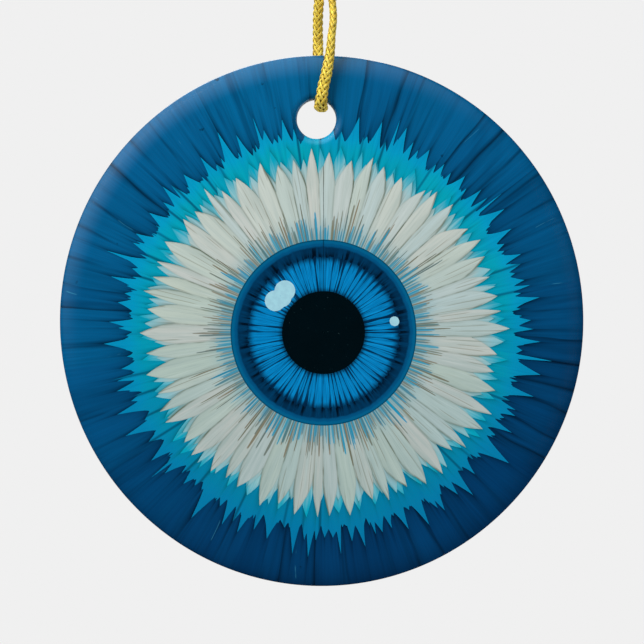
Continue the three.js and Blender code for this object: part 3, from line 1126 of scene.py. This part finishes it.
def braid(line, first, cord, flatness):
    """A braid of flat yarns round a line, each over two and under two. flatness says, at each point,
    how much wider than thick the braid is. Gives a tube and a chance number for each yarn."""
    side, other = carried_frame(line, first)
    wide, thick = half_sizes(cord, flatness)
    count = cord.yarns
    yarn_wide = 0.28 * math.pi * cord.diameter / count
    yarn_thick = 0.42 * yarn_wide
    wave = 0.8 * yarn_thick
    depth = yarn_thick + 0.2 * wave
    turned = run_along(line) / cord.lay * TURN
    crossing = 2 * count * turned / TURN
    yarns = []
    chance = np.random.default_rng(YARN_SEED)
    for hand in (1, -1):
        for i in range(count):
            turn = TURN * i / count + hand * turned
            lift = hand * wave * np.cos(math.pi / 2 * (2 * i + hand * crossing) - math.pi / 4)
            across, beside = np.cos(turn)[:, None], np.sin(turn)[:, None]
            out = unit(side * across / thick[:, None] + other * beside / wide[:, None])
            place = line + side * across * (thick - depth)[:, None]
            place += other * beside * (wide - depth)[:, None] + out * lift[:, None]
            way = unit(np.gradient(place, axis=0))
            flat = unit(np.cross(out, way))
            made = tube(place, flat, np.cross(way, flat), yarn_wide, yarn_thick, YARN_SIDES)
            yarns.append((made, chance.random()))
    return yarns


def core(line, first, cord, flatness):
    """The inside of the braid, a plain sleeve just under the yarns, dark with painted shade for the deep
    gaps between them.
    """
    side, other = carried_frame(line, first)
    wide, thick = (CORE_SHARE * half[:, None] for half in half_sizes(cord, flatness))
    return tube(line, side, other, thick, wide, CORE_SIDES)


def gold_material(cord):
    sheet = sheet_for("gold_yarn")
    # sparkle_and_grain: its pale yellow flecks in the yarn's colour are painted highlight, the sparkle of
    # the metal foil; the same noise also roughens and bumps the yarn.
    sparkle_and_grain = sheet.noise(sheet.spot(), 5200.0, 2.0, 0.6)
    cloud = sheet.noise(sheet.spot(), 900.0, 3.0)
    base = sheet.washed(
        cord.gold,
        (sheet.named("yarn_chance") * 0.6, tint(250, 198, 56)),
        # Painted highlight: pale yellow flecks of sparkle on the yarn.
        (sparkle_and_grain.between(0.5, 0.68) * 0.7, tint(255, 248, 150)),
        ((1 - cloud.between(0.34, 0.5)) * 0.45, tint(170, 126, 28)),
        # Dark brown at the yarns' edges is painted shade, where neighbouring yarns shade each other.
        (sheet.named("yarn_edge").between(0.7, 1.0) * 0.6, tint(112, 76, 6)),
    )
    roughness = 0.3 + sparkle_and_grain * 0.2
    return sheet.surface(base, roughness, sparkle_and_grain, step=0.03 * MM, strength=0.6, Metallic=0.22)


def core_material(cord):
    sheet = sheet_for("gold_core")
    thread = sheet.noise(sheet.spot(), 3000.0, 2.0)
    # The core's dark brown is painted shade: it shows in the gaps between the yarns.
    base = sheet.mix(thread.between(0.4, 0.65), cord.shade, tint(48, 28, 6))
    return sheet.surface(base, 0.6 + thread * 0.2, thread, step=0.03 * MM, strength=0.5)


def cord_piece(name, lines, cord):
    """One piece of braided cord along one or more lines: (line, flatness) for each."""
    tubes, tones, inner, edges = [], [], [], []
    # Near 1 at a yarn's edges and 0.5 on its top: how much painted shade each point of a yarn's ring gets.
    edge_shade_share = np.abs(np.cos(np.arange(YARN_SIDES) * TURN / YARN_SIDES))
    for line, flatness in lines:
        made = [(*yarn, 0, edge_shade_share) for yarn in braid(line, TOWARDS_BACK, cord, flatness)]
        made.append((core(line, TOWARDS_BACK, cord, flatness), 0.5, 1, 0.0))
        for part, tone, is_core, edge in made:
            tubes.append(part)
            tones.extend([tone] * len(part[1]))
            inner.extend([is_core] * len(part[1]))
            edges.append(np.resize(edge, len(part[0])))
    piece = new_piece(name, *joined(tubes), gold_material(cord), None, "gold_braid")
    piece.data.materials.append(core_material(cord))
    piece.data.polygons.foreach_set("material_index", inner)
    # The yarns' painted edge shade, for the gold material to read.
    give(piece, "yarn_edge", np.concatenate(edges))
    give(piece, "yarn_chance", tones, "FACE")
    return piece


def loop_flatness(line):
    """How flat the braid lies at each point: squeezed wide where it bears on the hole's edge, and turned
    thin side on higher up, more so in the front strand."""
    near = np.linalg.norm(line - np.array(BIGHT), axis=1)
    front = np.arange(len(line)) < len(line) / 2
    high = np.clip((line[:, 2] + 10.5 * MM) / (6 * MM), 0, 1)
    return 0.02 + 0.5 * np.exp(-((near / (2.2 * MM)) ** 2)) - (0.2 + 0.45 * front) * high


# ------------------------------------------------------------------ the knot


# The knot is worked out in millimetres, with a point at each step along its strands.
KNOT_STEP = 0.5
KNOT_ROUNDS = 2500
FIRST_REACH = 18.0


def loose_knot(half, reach):
    """Two strands side by side through one loose overhand knot, as lines of points in millimetres."""
    wide, deep, tall = 2.1, 1.7, 0.52
    t = np.linspace(-2.2, 2.2, 300)
    curve = [(t**3 - 3 * t) * wide, (t**4 - 4 * t**2 + 2.0) * deep, (t**5 - 10 * t) * tall]
    middle = np.stack(curve, 1)
    side, _ = carried_frame(middle, (1.0, 0.0, 0.0))
    return [
        evened(np.vstack([[s * half, 0, -reach], middle + s * 0.8 * side, [s * half, 0, reach]]), KNOT_STEP)
        for s in (1, -1)
    ]


def near_pairs(strands, close):
    """Pairs of points that could touch: of two strands, or of one strand but not close along it."""
    every = np.vstack(strands)
    place = np.concatenate([np.arange(len(s)) for s in strands])
    owner = np.repeat([0, 1], [len(s) for s in strands])
    square = ((every[:, None] - every[None]) ** 2).sum(2)
    along = np.abs(place[:, None] - place[None]) * KNOT_STEP
    apart = (owner[:, None] != owner[None]) | (along > 2 * close)
    return np.nonzero(np.triu(square < (close + 1.0) ** 2, 1) & apart)


def tightened_knot(cord, half, low, high):
    """Pulls the loose knot tight: the strands shorten by smoothing and push each other apart where they
    touch, while their ends come in to low and high."""
    packed, smoothing, pushing, most, pushes = 0.945, 0.4, 0.3, 0.6, 6
    close, far = packed * cord.diameter / MM, FIRST_REACH
    strands = loose_knot(half, far)
    for turn in range(KNOT_ROUNDS):
        drawn_in = min(1.0, turn / (0.5 * KNOT_ROUNDS))
        for s in strands:
            s[0, 2] = -far + (far + low) * drawn_in
            s[-1, 2] = far + (high - far) * drawn_in
        if turn % 4 == 0:
            strands = [evened(s, KNOT_STEP) for s in strands]
            first, second = near_pairs(strands, close)
        count = len(strands[0])
        every = np.vstack(strands)
        for a, b in ((0, count), (count, len(every))):
            s = every[a:b].copy()
            every[a + 1 : b - 1] += smoothing * (0.5 * (s[:-2] + s[2:]) - s[1:-1])
        for _ in range(pushes):
            gap = every[first] - every[second]
            distance = np.linalg.norm(gap, axis=1) + 1e-9
            push = gap / distance[:, None] * (np.clip(close - distance, 0, most) * pushing)[:, None]
            move = np.zeros_like(every)
            np.add.at(move, first, push)
            np.add.at(move, second, -push)
            move[[0, count - 1, count, len(every) - 1]] = 0
            every += move
        strands = [every[:count], every[count:]]
    return strands


# ------------------------------------------------------------------ operators


class Maker(bpy.types.Operator):
    """Shared ground of the operators that make pieces"""

    bl_options = {"REGISTER", "UNDO"}

    @classmethod
    def poll(cls, context):
        return context.mode == "OBJECT"


class ORNAMENT_OT_stage(Maker):
    """Sets the pale floor, the soft lights and the camera"""

    bl_idname = "ornament.stage"
    bl_label = "Stage"

    def execute(self, context):
        stage = context.scene.ornament_stage
        self.floor(stage)
        self.world(context, stage)
        self.lights()
        self.camera(context, stage)
        context.scene.view_settings.view_transform = "Standard"
        return {"FINISHED"}

    def floor(self, stage):
        """A pale floor that is lit near the object and runs out into the backdrop. It glows with painted
        light: grey near the object to make up for the lamps, and the backdrop's colour further out, where
        its own colour fades to black.
        """
        size, drop = 1.4, 0.24
        mesh = bpy.data.meshes.new("floor")
        ground = CAD_BOX[0][2] - drop
        corners = [(x * size, y * size, ground) for x, y in ((-1, -1), (1, -1), (1, 1), (-1, 1))]
        mesh.from_pydata(corners, [], [(0, 1, 2, 3)])
        sheet = sheet_for("floor")
        x, y, _ = sheet.place()
        grain = sheet.noise(sheet.spot(), 14.0, 3.0)
        paper = sheet.mix(grain * 0.3, tint(173, 170, 169), tint(165, 163, 162))
        far = ((x * x + y * y) ** 0.5).between(0.15, 0.7 * size)
        base = sheet.mix(far, paper, tint(0, 0, 0))
        # glow is painted light: the floor's emission, grey near the object and the backdrop's colour far
        # out.
        glow = sheet.mix(far, tint(170, 170, 170), stage.backdrop)
        shine = {"Specular_IOR_Level": 0.0, "Emission_Color": glow, "Emission_Strength": 1.0}
        mesh.materials.append(sheet.surface(base, 0.85, **shine))
        floor = bpy.data.objects.new("floor", mesh)
        floor.visible_glossy = False
        floor.visible_diffuse = False
        bpy.context.scene.collection.objects.link(floor)

    def world(self, context, stage):
        """An even pale room, in which only a broad soft window at the upper left mirrors brightly."""
        world = bpy.data.worlds.new("studio")
        sheet = Sheet(world)
        toward = sheet.node("ShaderNodeTexCoord", None, None, "Generated")
        window = Vector((-0.45, -0.3, 0.82)).normalized()
        dot = {"operation": "DOT_PRODUCT"}
        facing = sheet.node("ShaderNodeVectorMath", dot, {0: toward, 1: window}, "Value")
        seen = sheet.node("ShaderNodeLightPath", None, None, "Is Camera Ray")
        mirrored = sheet.node("ShaderNodeLightPath", None, None, "Is Glossy Ray")
        ambient = stage.ambient
        window_light = facing.between(0.38, 1.0) * stage.window + 0.01
        strength = ambient + seen * (1.0 - ambient) + mirrored * (window_light - ambient)
        shade = sheet.mix(seen, tint(232, 246, 252), stage.backdrop)
        light = sheet.node("ShaderNodeBackground", None, {"Color": shade, "Strength": strength})
        sheet.node("ShaderNodeOutputWorld", None, {"Surface": light})
        context.scene.world = world

    def lights(self):
        """Broad soft lights: the key from the upper left, a fill from the right and one behind."""
        aim = Vector((DISC_MIDDLE.x, 0.0, DISC_MIDDLE.z))
        for name, place, size, power, glossy in (
            ("key_light", (-0.44, -0.36, 0.46), 0.42, 6.1, False),
            ("fill_light", (0.5, -0.5, 0.0), 0.5, 1.2, False),
            ("back_light", (-0.1, 0.5, 0.4), 0.4, 1.6, True),
        ):
            lamp = bpy.data.lights.new(name, "AREA")
            lamp.shape = "SQUARE"
            lamp.size = size
            lamp.energy = power
            light = bpy.data.objects.new(name, lamp)
            light.location = aim + Vector(place)
            light.rotation_euler = (aim - light.location).to_track_quat("-Z", "Y").to_euler()
            light.visible_glossy = glossy
            light.visible_camera = False
            bpy.context.scene.collection.objects.link(light)

    def camera(self, context, stage):
        """Square on to the printed face, as wide as the disc and a little margin."""
        lens = bpy.data.cameras.new("camera")
        lens.sensor_width = 36.0
        lens.lens = lens.sensor_width * stage.distance / stage.view_width
        lens.clip_start = 0.01
        camera = bpy.data.objects.new("camera", lens)
        aside, below = 0.05 * MM, 0.18 * MM
        camera.location = (DISC_MIDDLE.x + aside, FILM_FRONT - stage.distance, DISC_MIDDLE.z - below)
        camera.rotation_euler = (math.pi / 2, 0.0, 0.0)
        bpy.context.scene.collection.objects.link(camera)
        context.scene.camera = camera


class ORNAMENT_OT_cord(Maker):
    """Braids the gold cord that passes through the hole"""

    bl_idname = "ornament.cord"
    bl_label = "Cord"

    def execute(self, context):
        cord = context.scene.ornament_cord
        line = smooth_line(LOOP_ROUTE)
        piece = cord_piece("gold_cord", [(line, loop_flatness(line))], cord)
        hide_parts("cord_lower", "cord_upper_front", "cord_upper_rear")
        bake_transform(piece)
        return {"FINISHED"}


class ORNAMENT_OT_knot(Maker):
    """Ties both strands in one overhand knot and leaves two short tails"""

    bl_idname = "ornament.knot"
    bl_label = "Knot and tails"

    def execute(self, context):
        cord = context.scene.ornament_cord
        low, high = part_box("cord_knot")
        centre = (low + high) / 2
        tail_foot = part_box("cord_tail_front")[0].z
        half = abs(LOOP_ROUTE[0][0]) / MM
        reach = centre.z / MM
        knot_flatness = 0.14
        lines = []
        strands = tightened_knot(cord, half, 0.1 - reach, reach + 0.2)
        for strand, tail in zip(strands, (FRONT_TAIL, REAR_TAIL)):
            knot = strand * MM + np.array([0.0, 0.0, centre.z])
            rest = np.array(tail) + np.array([0.0, 0.0, tail_foot])
            line = smooth_line(np.vstack([knot[::3], rest]))
            lines.append((line, np.full(len(line), knot_flatness)))
        piece = cord_piece("gold_knot", lines, cord)
        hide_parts("cord_knot", "cord_tail_front", "cord_tail_rear")
        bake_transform(piece)
        self.seal([line for line, _ in lines], cord)
        return {"FINISHED"}

    def seal(self, lines, cord):
        """The melted ends of the two tails, which keep the braid from fraying."""
        chance = np.random.default_rng(LUMP_SEED)
        lumpiness = 0.08
        radius, along = np.array(SEAL_RINGS).T[:, :, None] * cord.diameter / 2
        ends = []
        for line in lines:
            end, way = line[-1], line[-1] - line[-6]
            way /= np.linalg.norm(way)
            side, other = (v[:1] for v in carried_frame(np.array([end, end + way]), TOWARDS_BACK))
            lumps = [1 + lumpiness * chance.uniform(-1, 1, SEAL_SIDES) for _ in SEAL_RINGS]
            ends.append(tube(end + way * along, side, other, radius * lumps, radius * lumps, SEAL_SIDES))
        sheet = sheet_for("melted_yarn")
        lump = sheet.noise(sheet.spot(), 2600.0, 3.0)
        base = sheet.mix(lump.between(0.35, 0.65), tint(150, 104, 34), tint(206, 156, 60))
        material = sheet.surface(base, 0.3 + lump * 0.2, lump, step=0.05 * MM, strength=0.6, Metallic=0.4)
        new_piece("sealed_tips", *joined(ends), material, "hanger", "gold_braid")


class ORNAMENT_OT_disc(Maker):
    """Casts the glazed porcelain disc with its hole"""

    bl_idname = "ornament.disc"
    bl_label = "Disc"

    def execute(self, context):
        disc = context.scene.ornament_disc
        points = disc_points(disc, DISC_COLUMNS)
        rows, columns = points.shape[:2]
        flat = points.reshape(-1, 3)
        faces = grid_faces(rows, columns)
        last = (rows - 1) * columns
        for c in range(columns):
            after = (c + 1) % columns
            faces.append((last + c, last + after, after, c))
        piece = new_piece("disc_body", flat, faces, porcelain_material(disc), "disc", "white_porcelain")
        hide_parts("porcelain_disc")
        return {"FINISHED"}


class ORNAMENT_OT_eye(Maker):
    """Prints the pupil, the iris and its dark ring"""

    bl_idname = "ornament.eye"
    bl_label = "Pupil and iris"

    def execute(self, context):
        ink = context.scene.ornament_ink
        angle = eye_outlines()["angle"]
        centre = round_eye(angle, 0.02 * MM)
        pupil = round_eye(angle, span_of("print_pupil").x / 2)
        iris = on_eye(angle, iris_reach(angle))
        rim = round_eye(angle, span_of("print_iris_rim").x / 2)
        for name, node, slot, rows, material in (
            ("pupil_ink", "print_pupil", "print_near_black", rings(centre, pupil, 6), pupil_material),
            ("iris_ink", "print_iris", "print_bright_blue", rings(pupil, iris, 8), iris_material),
            ("iris_rim_ink", "print_iris_rim", "print_navy", rings(iris, rim, 5), rim_material),
        ):
            on_disc_face(film_piece(name, rows, material(ink), slot), node)
        return {"FINISHED"}


def mark(piece, made, kind, under=None, spread=0.22 * MM, weak=0.25):
    """Gives a field its leaf numbers: how far in from the edge, how far up, which leaf and which side."""
    leaves = made[kind]
    angle, radius = polar(points_of(piece))
    inset, _, _ = leaves.inset(angle, radius)
    give(piece, "inset_mm", np.clip(inset / MM, 0, 3))
    give(piece, "climb", np.clip((radius - leaves.foot) / (leaves.tip.mean() - leaves.foot), 0, 1.2))
    if under:
        give(piece, "shadow", shadow_of(made[under], made["angle"], angle, radius, spread, weak))
    angle, radius = polar(face_middles(piece))
    _, leaf, off = leaves.inset(angle, radius)
    give(piece, "leaf_chance", leaves.chance[leaf], "FACE")
    give(piece, "leaf_side", off, "FACE")


class ORNAMENT_OT_leaves(Maker):
    """Prints the three layers of pale leaves, one behind another"""

    bl_idname = "ornament.leaves"
    bl_label = "Leaves"

    def execute(self, context):
        ink = context.scene.ornament_ink
        made = eye_outlines()
        angle = made["angle"]
        rim = round_eye(angle, span_of("print_iris_rim").x / 2)
        lines = (made[kind] for kind in ("leaf_line", "inner_line", "veil_line"))
        tips, inner_tips, veil_tips = (on_eye(angle, line) for line in lines)
        for name, kind, rows, material, under, nodes in (
            ("leaf_ink", "front", rings(rim, tips, 20, 0.8), leaf_material, None, ["print_petals"]),
            ("inner_leaf_ink", "inner", rings(tips, inner_tips, 10), inner_leaf_material, "leaf_line", []),
            ("veil_ink", "veil", rings(inner_tips, veil_tips, 8), veil_material, "inner_line", []),
        ):
            piece = film_piece(name, rows, material(ink), "print_off_white")
            mark(piece, made, kind, under)
            on_disc_face(piece, *nodes)
        return {"FINISHED"}


class ORNAMENT_OT_star(Maker):
    """Prints the star of cyan spikes"""

    bl_idname = "ornament.star"
    bl_label = "Star"

    def execute(self, context):
        made = eye_outlines()
        angle = made["angle"]
        rows = rings(on_eye(angle, made["veil_line"]), on_eye(angle, made["star_line"]), 16)
        star = film_piece("star_ink", rows, star_material(context.scene.ornament_ink), "print_cyan")
        mark(star, made, "spikes", "veil_line", 0.3 * MM)
        spikes = made["spikes"]
        away, _ = spikes.from_border(*polar(points_of(star)))
        give(star, "line_mm", np.clip(away / MM, 0, 3))
        _, line = spikes.from_border(*polar(face_middles(star)))
        give(star, "line_chance", spikes.chance[line], "FACE")
        on_disc_face(star, "print_star")
        return {"FINISHED"}


class ORNAMENT_OT_ground(Maker):
    """Prints the blue planks, over the shoulder and down the side of the disc"""

    bl_idname = "ornament.ground"
    bl_label = "Ground"

    def execute(self, context):
        ink, disc = context.scene.ornament_ink, context.scene.ornament_disc
        made = eye_outlines()
        angle = made["angle"]
        skin = (FILM_SPAN.z - DISC_SPAN.z) / 2
        run, drop = disc.shoulder_run + skin, disc.shoulder_drop + skin
        reach = FILM_SPAN.z / 2
        flat = rings(on_eye(angle, made["star_line"]), on_rim(angle, reach - run), 22)
        turns = quarter_turns(SHOULDER_STEPS)[1:]
        shoulder = [on_rim(angle, reach - run + run * math.sin(turn)) for turn in turns]
        material = ground_material(ink)
        ground = film_piece("ground_ink", flat + shoulder, material, "print_deep_blue")
        on_disc_face(ground, "print_ground")
        around, radius = polar(points_of(ground))
        edge = np.interp(around, angle, made["star_line"], period=TURN)
        beside = shadow_of(made["star_line"], angle, around, radius, 0.5 * MM, 0.4)
        notch = 1 - np.clip((edge - made["spikes"].foot) / (1.6 * MM), 0, 1)
        give(ground, "shadow", np.maximum(beside, notch * np.exp(-(radius - edge) / (1.5 * MM))))
        self.side(on_rim(angle, reach), FILM_FRONT + drop, skin / reach, material)
        return {"FINISHED"}

    def side(self, edge, top, inward, material):
        """The band round the disc's side, with a hem turned in to the porcelain."""
        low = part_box("print_ground")[1].y
        middle = np.array([DISC_MIDDLE.x, DISC_MIDDLE.z])
        hem = middle + (edge - middle) * (1 - inward)
        rows = [(edge, top), (edge, (top + low) / 2), (edge, low), (hem, low)]
        points = [stood(plan, y) for plan, y in rows]
        faces = grid_faces(len(rows), len(edge))
        new_piece("side_ink", np.concatenate(points), faces, material, "disc", "print_deep_blue")


class ORNAMENT_OT_glints(Maker):
    """Prints the two light marks on the eye"""

    bl_idname = "ornament.glints"
    bl_label = "Glints"

    def execute(self, context):
        material = glint_material(context.scene.ornament_ink)
        raise_by = 0.012 * MM
        for size in ("large", "small"):
            node = "print_glint_" + size
            outline = self.outline(node)
            middle = outline.mean(0)
            rows = [middle + (outline - middle) * share for share in (1.0, 0.7, 0.4, 0.02)]
            points = stood(np.concatenate(rows), FILM_FRONT - raise_by)
            faces = grid_faces(len(rows), len(outline))
            piece = new_piece(f"glint_{size}_ink", points, faces, material, None, "print_pale_blue")
            on_disc_face(piece, node)
        return {"FINISHED"}

    def outline(self, node):
        """Three round lobes run together for the large mark and a dot for the small one."""
        low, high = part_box(node)
        middle = (low + high) / 2
        wide, tall = high.x - low.x, high.z - low.z
        lobe = 0.5 * wide if node == "print_glint_small" else 0.34 * wide
        lean = Vector((wide / 2 - lobe, 0.0, tall / 2 - lobe))
        belly = Vector((0.06 * wide, 0.0, -0.06 * wide))
        turn = np.arange(72) * TURN / 72
        way = np.stack([np.cos(turn), np.sin(turn)], 1)
        reach = np.zeros(len(turn))
        for centre, radius in ((lean, lobe), (-lean, lobe), (belly, 0.92 * lobe)):
            along = way @ np.array([centre.x, centre.z])
            beside = way @ np.array([-centre.z, centre.x])
            reach = np.maximum(reach, along + np.sqrt(radius**2 - beside**2))
        return np.array([middle.x, middle.z]) + way * reach[:, None]


class ORNAMENT_PT_panel(bpy.types.Panel):
    """Lists the steps that build the ornament"""

    bl_idname = "ORNAMENT_PT_panel"
    bl_label = "Evil Eye Ornament"
    bl_space_type = "VIEW_3D"
    bl_region_type = "UI"
    bl_category = "Ornament"

    def draw(self, context):
        for step in STEPS:
            self.layout.operator(step.bl_idname)
        for name, group in SETTINGS.items():
            box = self.layout.box()
            box.label(text=group.__doc__)
            for key in group.__annotations__:
                box.prop(getattr(context.scene, name), key)


# The order in which the pieces are made: the stage and the cord come first.
STEPS = (
    ORNAMENT_OT_stage,
    ORNAMENT_OT_knot,
    ORNAMENT_OT_cord,
    ORNAMENT_OT_disc,
    ORNAMENT_OT_eye,
    ORNAMENT_OT_leaves,
    ORNAMENT_OT_star,
    ORNAMENT_OT_ground,
    ORNAMENT_OT_glints,
)


def register():
    for group in SETTINGS.values():
        bpy.utils.register_class(group)
    for name, group in SETTINGS.items():
        setattr(bpy.types.Scene, name, PointerProperty(type=group))
    for step in STEPS:
        bpy.utils.register_class(step)
    bpy.utils.register_class(ORNAMENT_PT_panel)


def unregister():
    bpy.utils.unregister_class(ORNAMENT_PT_panel)
    for step in reversed(STEPS):
        bpy.utils.unregister_class(step)
    for name in SETTINGS:
        delattr(bpy.types.Scene, name)
    for group in reversed(list(SETTINGS.values())):
        bpy.utils.unregister_class(group)


def main():
    register()
    for step in STEPS:
        area, name = step.bl_idname.split(".")
        getattr(getattr(bpy.ops, area), name)()


if __name__ == "__main__":
    main()
